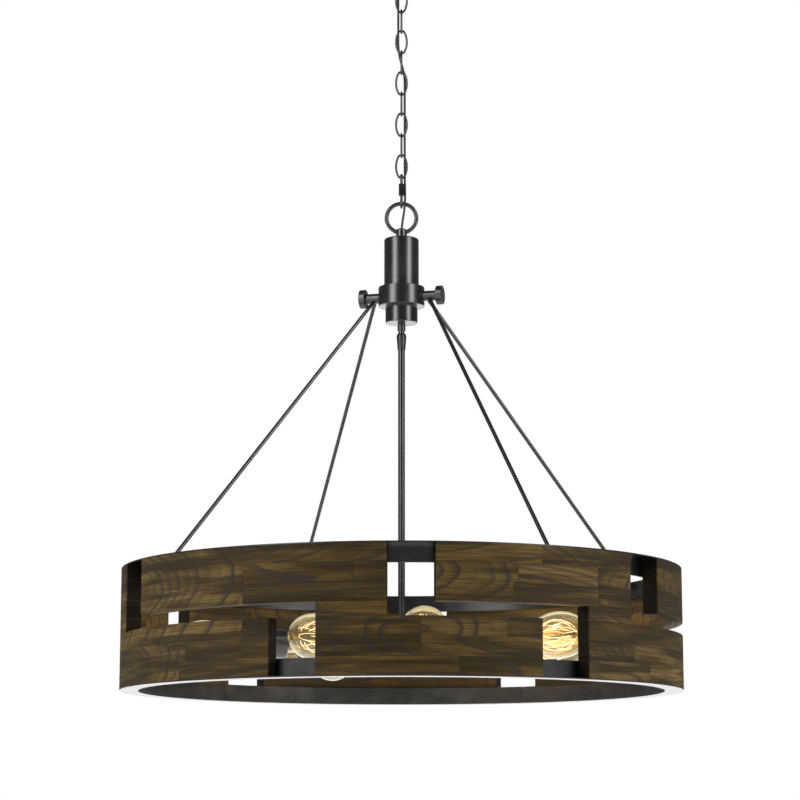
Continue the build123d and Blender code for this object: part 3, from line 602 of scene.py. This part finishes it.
# %% Colour and surface of the stained wood
clouds = noise(tree, in_grain, (7.0, 7.0, 34.0), 3.0)
patches = noise(tree, in_grain, (5.0, 5.0, 60.0), 3.0)
streaks = noise(tree, in_grain, (11.0, 200.0, 700.0), 3.0)
pores = ease(tree, noise(tree, in_grain, (90.0, 900.0, 2000.0), 1.0), 0.6, 0.72)
tone = read_attribute("tone")
dull_brown = mix_colors(tree, tone, (0.058, 0.0375, 0.012, 1), (0.13, 0.083, 0.026, 1))
warm_brown = mix_colors(tree, tone, (0.1, 0.062, 0.018, 1), (0.23, 0.148, 0.046, 1))
cloudy = ease(tree, clouds, 0.4, 0.62, -0.15, 0.85)
golden = calculate(tree, "MULTIPLY_ADD", read_attribute("warmth"), 0.35, cloudy)
color = mix_colors(tree, golden, dull_brown, warm_brown)
layers = {
    "patches": (ease(tree, patches, 0.4, 0.62, 0.1, 0.8), (0.026, 0.0175, 0.009, 1)),
    "shade within a ring": (calculate(tree, "MULTIPLY", ring_shade, 0.4), (0.034, 0.024, 0.012, 1)),
    "streaks": (ease(tree, streaks, 0.35, 0.68, 0.0, 0.58), (0.022, 0.016, 0.009, 1)),
    "late wood": (calculate(tree, "MULTIPLY", late_wood, 0.7), (0.033, 0.029, 0.031, 1)),
    "pores": (calculate(tree, "MULTIPLY", pores, 0.45), (0.01, 0.008, 0.006, 1)),
    # Cut ends go nearly black: partly the stain they drink, partly painted shade for the shadow that falls
    # on them in the gaps between panels.
    "cut ends with painted shade": (calculate(tree, "MULTIPLY", read_attribute("cut_end"), 0.85), (0.007, 0.006, 0.005, 1)),
}
for share, layer_color in layers.values():
    color = mix_colors(tree, share, color, layer_color)
relief = calculate(tree, "SUBTRACT", calculate(tree, "MULTIPLY", streaks, 0.5), pores)
set_inputs(tree, shader, {
    "Base Color": color,
    "Roughness": ease(tree, streaks, 0.3, 0.7, 0.45, 0.62),
    "Specular IOR Level": 0.04,
    "Normal": bumps(tree, relief, 0.25, 0.0002),
})
print("layers over the body colour of the wood:", list(layers))

# %% [markdown]
# The panels are now made and take the place of the frame's plain ones. Their staves are closed
# blocks that only touch, so nothing is merged, or two staves would become one.


# %% Put the panels in place
def write_attribute(mesh, name, kind, domain, values):
    """Store one value for each point or face of a mesh, for the material to read."""
    attribute = mesh.attributes.new(name, kind, domain)
    field = "vector" if kind == "FLOAT_VECTOR" else "value"
    attribute.data.foreach_set(field, np.asarray(values, np.float32).ravel())


stave_count = 0
for number, arcs in enumerate(panels, 1):
    blocks = cut_panel(*arcs)
    stave_count += len(blocks)
    points, faces, tree_places, grain_places, tones, warmths, ends = join_blocks(blocks)
    panel = make_piece(f"slats_{number}", points, faces, stained_wood, "drum", 30.0, merge=False)
    write_attribute(panel.data, "tree_place", "FLOAT_VECTOR", "POINT", tree_places)
    write_attribute(panel.data, "grain_place", "FLOAT_VECTOR", "POINT", grain_places)
    write_attribute(panel.data, "tone", "FLOAT", "POINT", tones)
    write_attribute(panel.data, "warmth", "FLOAT", "POINT", warmths)
    write_attribute(panel.data, "cut_end", "FLOAT", "FACE", ends)
    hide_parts(f"wood_panel_{number}")
print("staves in the drum:", stave_count)

# %% [markdown]
# ## Where the lamps are
#
# Each bulb slides along its own axis, and the frame's joints give that axis. Its place along and
# across the axis is read from the solid of its glass. A lamp's own directions are then: along,
# from the neck to the tip, across, and up.

# %% Where the lamps are
lamps = []
lamp_count = sum(name.endswith("_pull") for name in joints)
for number in range(1, lamp_count + 1):
    along = np.array(joints[f"bulb_{number}_pull"]["axis"], float)
    across = np.cross(along, (0.0, 0.0, 1.0))
    across /= np.linalg.norm(across)
    upward = np.cross(across, along)
    points = node_points(f"bulb_glass_{number}")
    reach = points @ along
    middle_across = ((points @ across).min() + (points @ across).max()) / 2
    middle_up = ((points @ upward).min() + (points @ upward).max()) / 2
    neck = along * reach.min() + across * middle_across + upward * middle_up
    lamps.append((neck, along, across, upward))
glass_length = reach.max() - reach.min()
glass_radius = ((points @ across).max() - (points @ across).min()) / 2
print(f"{lamp_count} bulbs: {glass_length * 1000:.1f} mm of glass, {glass_radius * 2000:.1f} mm across")


def turn_profile(lamp, along_axis, radius, segments):
    """Turn a profile round a lamp's axis: rows follow the profile, columns go round."""
    neck, along, across, upward = lamp
    angle = np.linspace(0.0, 2 * np.pi, segments, endpoint=False)
    ring = np.cos(angle)[:, None] * across + np.sin(angle)[:, None] * upward
    return neck + along_axis[:, None, None] * along + radius[:, None, None] * ring[None, :, :]


# %% [markdown]
# ## Amber glass
#
# The bulbs are old-style pear shapes in clear glass with an amber tint. The tint lies in the
# shader's own colour, so rays are dyed as they pass. Glass would keep the light of the filament
# in, because a lamp behind it is hard for the renderer to find, so for shadow rays the glass is
# simply transparent.


# %% Amber glass
def make_glass(name, color, painted_glow_color, painted_glow_strength, roughness):
    """Tinted glass that lets the light of lamps through; its glow is painted light, not a lamp."""
    material, tree, shader, place = start_material(name)
    ripple = noise(tree, place, (55.0, 55.0, 55.0), 1.0)
    set_inputs(tree, shader, {
        "Base Color": color,
        "Transmission Weight": 1.0,
        "IOR": 1.46,
        "Roughness": roughness,
        "Emission Color": painted_glow_color,
        "Emission Strength": painted_glow_strength,
        "Normal": bumps(tree, ripple, 0.08, 0.001),
    })
    clear = add_node(tree, "ShaderNodeBsdfTransparent", {"Color": color}).outputs[0]
    in_shadow = add_node(tree, "ShaderNodeLightPath").outputs["Is Shadow Ray"]
    both = add_node(tree, "ShaderNodeMixShader", {0: in_shadow, 1: shader.outputs[0], 2: clear})
    set_inputs(tree, tree.nodes["Material Output"], {"Surface": both.outputs[0]})
    return material


# The amber glass gets a faint painted glow, standing in for the filament's light caught in the glass; the
# stem glass gets none.
amber_glass = make_glass("amber glass", (0.93, 0.84, 0.6, 1), (1.0, 0.8, 0.45, 1), 0.02, 0.0)
stem_glass = make_glass("stem glass", (0.95, 0.95, 0.93, 1), (1.0, 0.8, 0.5, 1), 0.0, 0.05)
print("kinds of glass:", [amber_glass.name, stem_glass.name])

# %% [markdown]
# ## Bulbs
#
# The flank of a bulb is a Bezier curve from the neck to the widest ring, and its dome is half an
# ellipse. The wall has an outer and an inner side, because light bends at both of them.

# %% Blow the bulbs
neck_radius = 0.0132
flank_length = 0.070
neck_handle = 0.024
belly_handle = 0.046
neck_flare = 0.003
dome_length = glass_length - flank_length
wall = 0.001
glass_segments = 72


def bulb_profile(inward, rows=26):
    """Outline of the glass, drawn in by a wall: places along the axis, and radii."""
    t = np.linspace(0.0, 1.0, rows)
    near_neck = 3 * (1 - t) ** 2 * t
    near_belly = 3 * (1 - t) * t ** 2
    narrow = neck_radius - inward
    wide = glass_radius - inward
    flank_along = near_neck * neck_handle + near_belly * belly_handle + t ** 3 * flank_length
    flank_radius = (1 - t) ** 3 * narrow + near_neck * (narrow + neck_flare) + (near_belly + t ** 3) * wide
    turn = np.linspace(0.0, np.pi / 2, rows)[1:]
    dome_along = flank_length + (dome_length - inward) * np.sin(turn)
    dome_radius = np.maximum(wide * np.cos(turn), 0.0)
    dome_radius[-1] = 0.0
    return np.concatenate([flank_along, dome_along]), np.concatenate([flank_radius, dome_radius])


outside_along, outside_radius = bulb_profile(0.0)
inside_along, inside_radius = bulb_profile(wall)
shell_along = np.concatenate([outside_along, inside_along[::-1], outside_along[:1]])
shell_radius = np.concatenate([outside_radius, inside_radius[::-1], outside_radius[:1]])
for number, lamp in enumerate(lamps, 1):
    points = turn_profile(lamp, shell_along, shell_radius, glass_segments)
    faces = grid_faces(len(shell_along), glass_segments)
    glass = make_piece(f"glass_{number}", points, faces, amber_glass, f"bulb_{number}")
    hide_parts(f"bulb_glass_{number}")
print("faces of one bulb's glass:", len(faces))

# %% [markdown]
# ## Screw caps
#
# A bulb's cap is thin brass, rolled into a rounded thread. The thread is a radius that rises and
# falls along the axis, and the phase of that wave turns once for each pitch. The thread fades
# out at both ends. The foot narrows in steps to the contact, and all of it is left in brass.

# %% Screw caps
cap_start = -0.0001
cap_length = 0.024
cap_radius = 0.0129
cap_rows = 90
cap_segments = 48
thread_pitch = 0.0036
thread_depth = 0.0011
drawn_in = 0.86
foot_steps = np.array([0.0, 0.001, 0.0011, 0.0027, 0.003, 0.003])
foot_radius = np.array([0.0098, 0.0075, 0.0045, 0.0043, 0.0032, 0.0])
for number, lamp in enumerate(lamps, 1):
    neck, along, across, upward = lamp
    row = np.linspace(0.0, 1.0, cap_rows)[:, None]
    angle = np.linspace(0.0, 2 * np.pi, cap_segments, endpoint=False)[None, :]
    depth_in = cap_start - cap_length * row
    wave = 0.5 - 0.5 * np.cos(2 * np.pi * (depth_in / thread_pitch) - angle)
    fade = np.clip(row * 12 - 1.5, 0, 1) * np.clip((1 - row) * 12 - 0.5, 0, 1)
    radius = cap_radius - thread_depth * wave * fade
    radius = radius * np.where(row > 0.97, drawn_in, 1.0)
    ring = np.cos(angle)[..., None] * across + np.sin(angle)[..., None] * upward
    side = neck + depth_in[..., None] * along + radius[..., None] * ring
    foot = turn_profile(lamp, cap_start - cap_length - foot_steps, foot_radius, cap_segments)
    top = turn_profile(lamp, np.array([cap_start, cap_start]), np.array([0.0, cap_radius]), cap_segments)
    points = np.concatenate([top, side, foot])
    cap = make_piece(f"cap_{number}", points, grid_faces(len(points), cap_segments), brass,
                     f"bulb_{number}")
    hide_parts(f"bulb_base_{number}")
print(f"turns of thread on a cap: {cap_length / thread_pitch:.1f}")

# %% [markdown]
# ## Filaments
#
# Inside each bulb a glass stem carries a rod with two rings of hooks, and one long filament runs
# to and fro between them as a cage. A strand leaves a lower hook, swells out and comes back in
# to an upper hook one step further round. The filament is drawn thicker than it is, because a
# camera sees its glare and not the wire. The hooks are too small to be drawn.

# %% Filament and stem
strands = 16
steps = 14
lower_hooks = (0.034, 0.0075)
upper_hooks = (0.094, 0.0085)
swell_radius = 0.0215
swell_power = 0.8
wire_radius = 0.0002
wire_sides = 6
stem_segments = 24
turn_of_next_bulb = 0.4
stem_along = np.array([0.0, 0.0, 0.006, 0.012, 0.02, 0.03, 0.031, 0.096, 0.0968, 0.0968])
stem_radius = np.array([0.0, 0.0112, 0.0105, 0.0068, 0.0048, 0.0036, 0.0014, 0.0014, 0.0008, 0.0])
glowing, tree, shader, _ = start_material("glowing filament")
set_inputs(tree, shader, {
    "Base Color": (0.9, 0.5, 0.25, 1),
    "Emission Color": (1.0, 0.74, 0.58, 1),
    "Emission Strength": 3.0,
})


def carry_circle(path, radius, outward, sides):
    """A tube: a circle of points carried along a path, one side of it kept facing outward."""
    tangent = np.gradient(path, axis=0)
    tangent /= np.linalg.norm(tangent, axis=1)[:, None]
    normal = outward - (outward * tangent).sum(axis=1)[:, None] * tangent
    normal /= np.linalg.norm(normal, axis=1)[:, None]
    other = np.cross(tangent, normal)
    angle = np.linspace(0.0, 2 * np.pi, sides, endpoint=False)[None, :, None]
    circle = np.cos(angle) * normal[:, None, :] + np.sin(angle) * other[:, None, :]
    return path[:, None, :] + radius * circle


def cage_path(lamp, phase):
    """The filament's line: strands between hooks, their radius swollen in the middle."""
    neck, along, across, upward = lamp
    t = np.linspace(0.0, 1.0, steps, endpoint=False)
    strand = np.arange(strands)[:, None]
    rising = np.where(strand % 2 == 0, t, 1 - t)
    angle = phase + (strand + t) * 2 * np.pi / strands
    hook_radius = lower_hooks[1] + (upper_hooks[1] - lower_hooks[1]) * rising
    bulge = np.sin(np.pi * rising) ** swell_power
    radius = hook_radius + (swell_radius - hook_radius) * bulge
    place_along = lower_hooks[0] + (upper_hooks[0] - lower_hooks[0]) * rising
    angle, radius, place_along = angle.ravel(), radius.ravel(), place_along.ravel()
    out = np.cos(angle)[:, None] * across + np.sin(angle)[:, None] * upward
    return neck + place_along[:, None] * along + radius[:, None] * out, out


for number, lamp in enumerate(lamps, 1):
    path, out = cage_path(lamp, turn_of_next_bulb * number)
    points = carry_circle(path, wire_radius, out, wire_sides)
    filament = make_piece(f"filament_{number}", points, grid_faces(len(path), wire_sides), glowing,
                          f"bulb_{number}", 80.0)
    points = turn_profile(lamp, stem_along, stem_radius, stem_segments)
    faces = grid_faces(len(stem_along), stem_segments)
    stem_piece = make_piece(f"stem_glass_{number}", points, faces, stem_glass, f"bulb_{number}")
wire_length = np.linalg.norm(np.diff(path, axis=0), axis=1).sum()
print(f"wire in one bulb: {wire_length:.2f} m")

# %% [markdown]
# ## Supply cord
#
# The cord is a black sleeve that is woven through the chain, on one side of each contact of two
# links and through every link that faces the front. It is one smooth curve through the same
# points as the frame's own cord, a little wider at the corners, because such a curve cuts inside
# them.

# %% Supply cord
cord_diameter = 0.0033
cord_points = [
    (0.0, 0.0, -0.029), (0.0, 0.0, -0.037),
    (-0.0048, 0.0048, -0.05243), (-0.0048, 0.0048, -0.08448), (-0.0048, -0.0048, -0.11653),
    (-0.0048, -0.0048, -0.14858), (-0.0048, 0.0048, -0.18063), (0.0048, 0.0048, -0.21268),
    (0.0048, -0.0048, -0.24473), (0.0048, -0.0048, -0.27678), (0.0048, 0.0048, -0.30883),
    (0.0048, 0.0048, -0.34088), (0.0048, -0.0048, -0.37293), (0.0058, -0.0057, -0.41635),
    (0.0, 0.0, -0.4491), (0.0, 0.0, -0.4571),
]
cord_sleeve = make_mottled("cord sleeve", (900.0, 900.0, 500.0),
                           (0.006, 0.0055, 0.005, 1), (0.02, 0.018, 0.015, 1), 0.45)
cord_curve = bpy.data.curves.new("supply_cord", "CURVE")
cord_curve.dimensions = "3D"
cord_curve.bevel_depth = cord_diameter / 2
cord_curve.bevel_resolution = 4
cord_curve.resolution_u = 10
cord_curve.use_fill_caps = True
cord_curve.materials.append(cord_sleeve)
spline = cord_curve.splines.new("NURBS")
spline.points.add(len(cord_points) - 1)
spline.points.foreach_set("co", np.array([(*point, 1.0) for point in cord_points]).ravel())
spline.use_endpoint_u = True
spline.order_u = 3
supply_cord = add_object("supply_cord", cord_curve)
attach(supply_cord, "chain")
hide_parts("cord")
print(f"cord: {spline.calc_length():.3f} m long")

# %% [markdown]
# ## Studio
#
# The photograph was taken in a white studio, and the lamp has two soft highlights down the hub,
# so there is a tall soft box on each side of the camera. The undersides are almost white,
# because at such a flat angle the coat mirrors the floor. So the world is white for what the
# camera and the glass see, white below the horizon and dark above it for what the metal mirrors.
# The light that falls on the wood comes more from the sides than from the front and the back, so
# that the drum is darker in its middle. The soft boxes are there for the highlights alone.

# %% Studio light
below_horizon = 1.35
above_horizon = 0.12
from_the_front = 0.03
from_the_sides = 3.4
world = bpy.data.worlds.new("studio")
world.use_nodes = True
bpy.context.scene.world = world
tree = world.node_tree
direction = add_node(tree, "ShaderNodeTexCoord").outputs["Generated"]
front_to_back, elevation = add_node(tree, "ShaderNodeSeparateXYZ", {0: direction}).outputs[1:]
rays = add_node(tree, "ShaderNodeLightPath").outputs
mirrored = ease(tree, elevation, -0.05, 0.0, below_horizon, above_horizon)
fill = ease(tree, calculate(tree, "ABSOLUTE", front_to_back), 0.85, 0.0, from_the_front, from_the_sides)
strength = add_node(tree, "ShaderNodeMix", {0: rays["Is Glossy Ray"], 2: fill, 3: mirrored}).outputs[0]
seen = calculate(tree, "MAXIMUM", rays["Is Camera Ray"], rays["Is Transmission Ray"])
strength = add_node(tree, "ShaderNodeMix", {0: seen, 2: strength, 3: 1.0}).outputs[0]
set_inputs(tree, tree.nodes["Background"], {"Strength": strength, "Color": (1, 1, 1, 1)})

box_distance = 3.2
box_height = 0.8
box_length = 2.6
middle_of_lamp = Vector((0.0, 0.0, -0.7))


def add_soft_box(name, azimuth, width, power):
    """A tall panel of light that faces the lamp; an azimuth of 0 is at the camera's side."""
    data = bpy.data.lights.new(name, "AREA")
    data.shape = "RECTANGLE"
    data.size = width
    data.size_y = box_length
    data.energy = power
    box = add_object(name, data)
    angle = radians(azimuth)
    box.location = (box_distance * np.sin(angle), -box_distance * np.cos(angle), box_height)
    box.rotation_euler = (middle_of_lamp - box.location).to_track_quat("-Z", "Y").to_euler()
    box.visible_camera = False
    box.visible_diffuse = False


add_soft_box("soft_box_left", -45.0, 1.6, 75.0)
add_soft_box("soft_box_right", 53.0, 1.4, 66.0)
print("soft boxes stand", box_distance, "m from the lamp's axis")

# %% [markdown]
# Each filament is only a thin line, so a small warm lamp stands inside each bulb and does the
# work of lighting the wood round it. It rides with the bulb. The camera, the glass and the metal
# don't see the small lamp itself, or it would be a white blob in the glass.

# %% Light of the bulbs
bulb_power = 0.14
bulb_color = (1.0, 0.72, 0.4)
bulb_light_radius = 0.015
middle_of_bulb = 0.065
for number, (neck, along, _, _) in enumerate(lamps, 1):
    data = bpy.data.lights.new(f"bulb_light_{number}", "POINT")
    data.energy = bulb_power
    data.color = bulb_color
    data.shadow_soft_size = bulb_light_radius
    light = add_object(f"bulb_light_{number}", data)
    light.location = neck + along * middle_of_bulb
    light.visible_camera = False
    light.visible_transmission = False
    light.visible_glossy = False
    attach(light, f"bulb_{number}")
print(f"light of the bulbs: {lamp_count * bulb_power:.2f} W")

# %% [markdown]
# ## Floor
#
# The floor lies far below the lamp. The camera looks up and never sees it, but the metal does.
# What is mirrored or seen of it is as bright as the world below the horizon, so that no edge of
# the floor shows in the metal. To other rays it is plain pale paint.

# %% Floor
floor_half = 12.0
floor_height = -4.6
floor_mesh = bpy.data.meshes.new("floor")
corners = [(x * floor_half, y * floor_half, floor_height) for x, y in ((-1, -1), (1, -1), (1, 1), (-1, 1))]
floor_mesh.from_pydata(corners, [], [(0, 1, 2, 3)])
floor = add_object("floor", floor_mesh)
floor_paint, tree, shader, _ = start_material("floor paint")
set_inputs(tree, shader, {"Base Color": (0.8, 0.8, 0.8, 1), "Roughness": 0.9})
rays = add_node(tree, "ShaderNodeLightPath").outputs
brightness = calculate(tree, "MULTIPLY_ADD", rays["Is Glossy Ray"], below_horizon - 1.0, 1.0)
white = add_node(tree, "ShaderNodeEmission", {"Color": (1, 1, 1, 1), "Strength": brightness}).outputs[0]
seen = calculate(tree, "MAXIMUM", rays["Is Glossy Ray"],
                 calculate(tree, "MAXIMUM", rays["Is Camera Ray"], rays["Is Transmission Ray"]))
both = add_node(tree, "ShaderNodeMixShader", {0: seen, 1: shader.outputs[0], 2: white})
set_inputs(tree, tree.nodes["Material Output"], {"Surface": both.outputs[0]})
floor_mesh.materials.append(floor_paint)
print("the floor lies", -floor_height, "m below the ceiling")

# %% [markdown]
# ## Finish
#
# Colours are shown as they are worked out, with no film look over them.

# %% Finish
bpy.context.scene.view_settings.view_transform = "Standard"
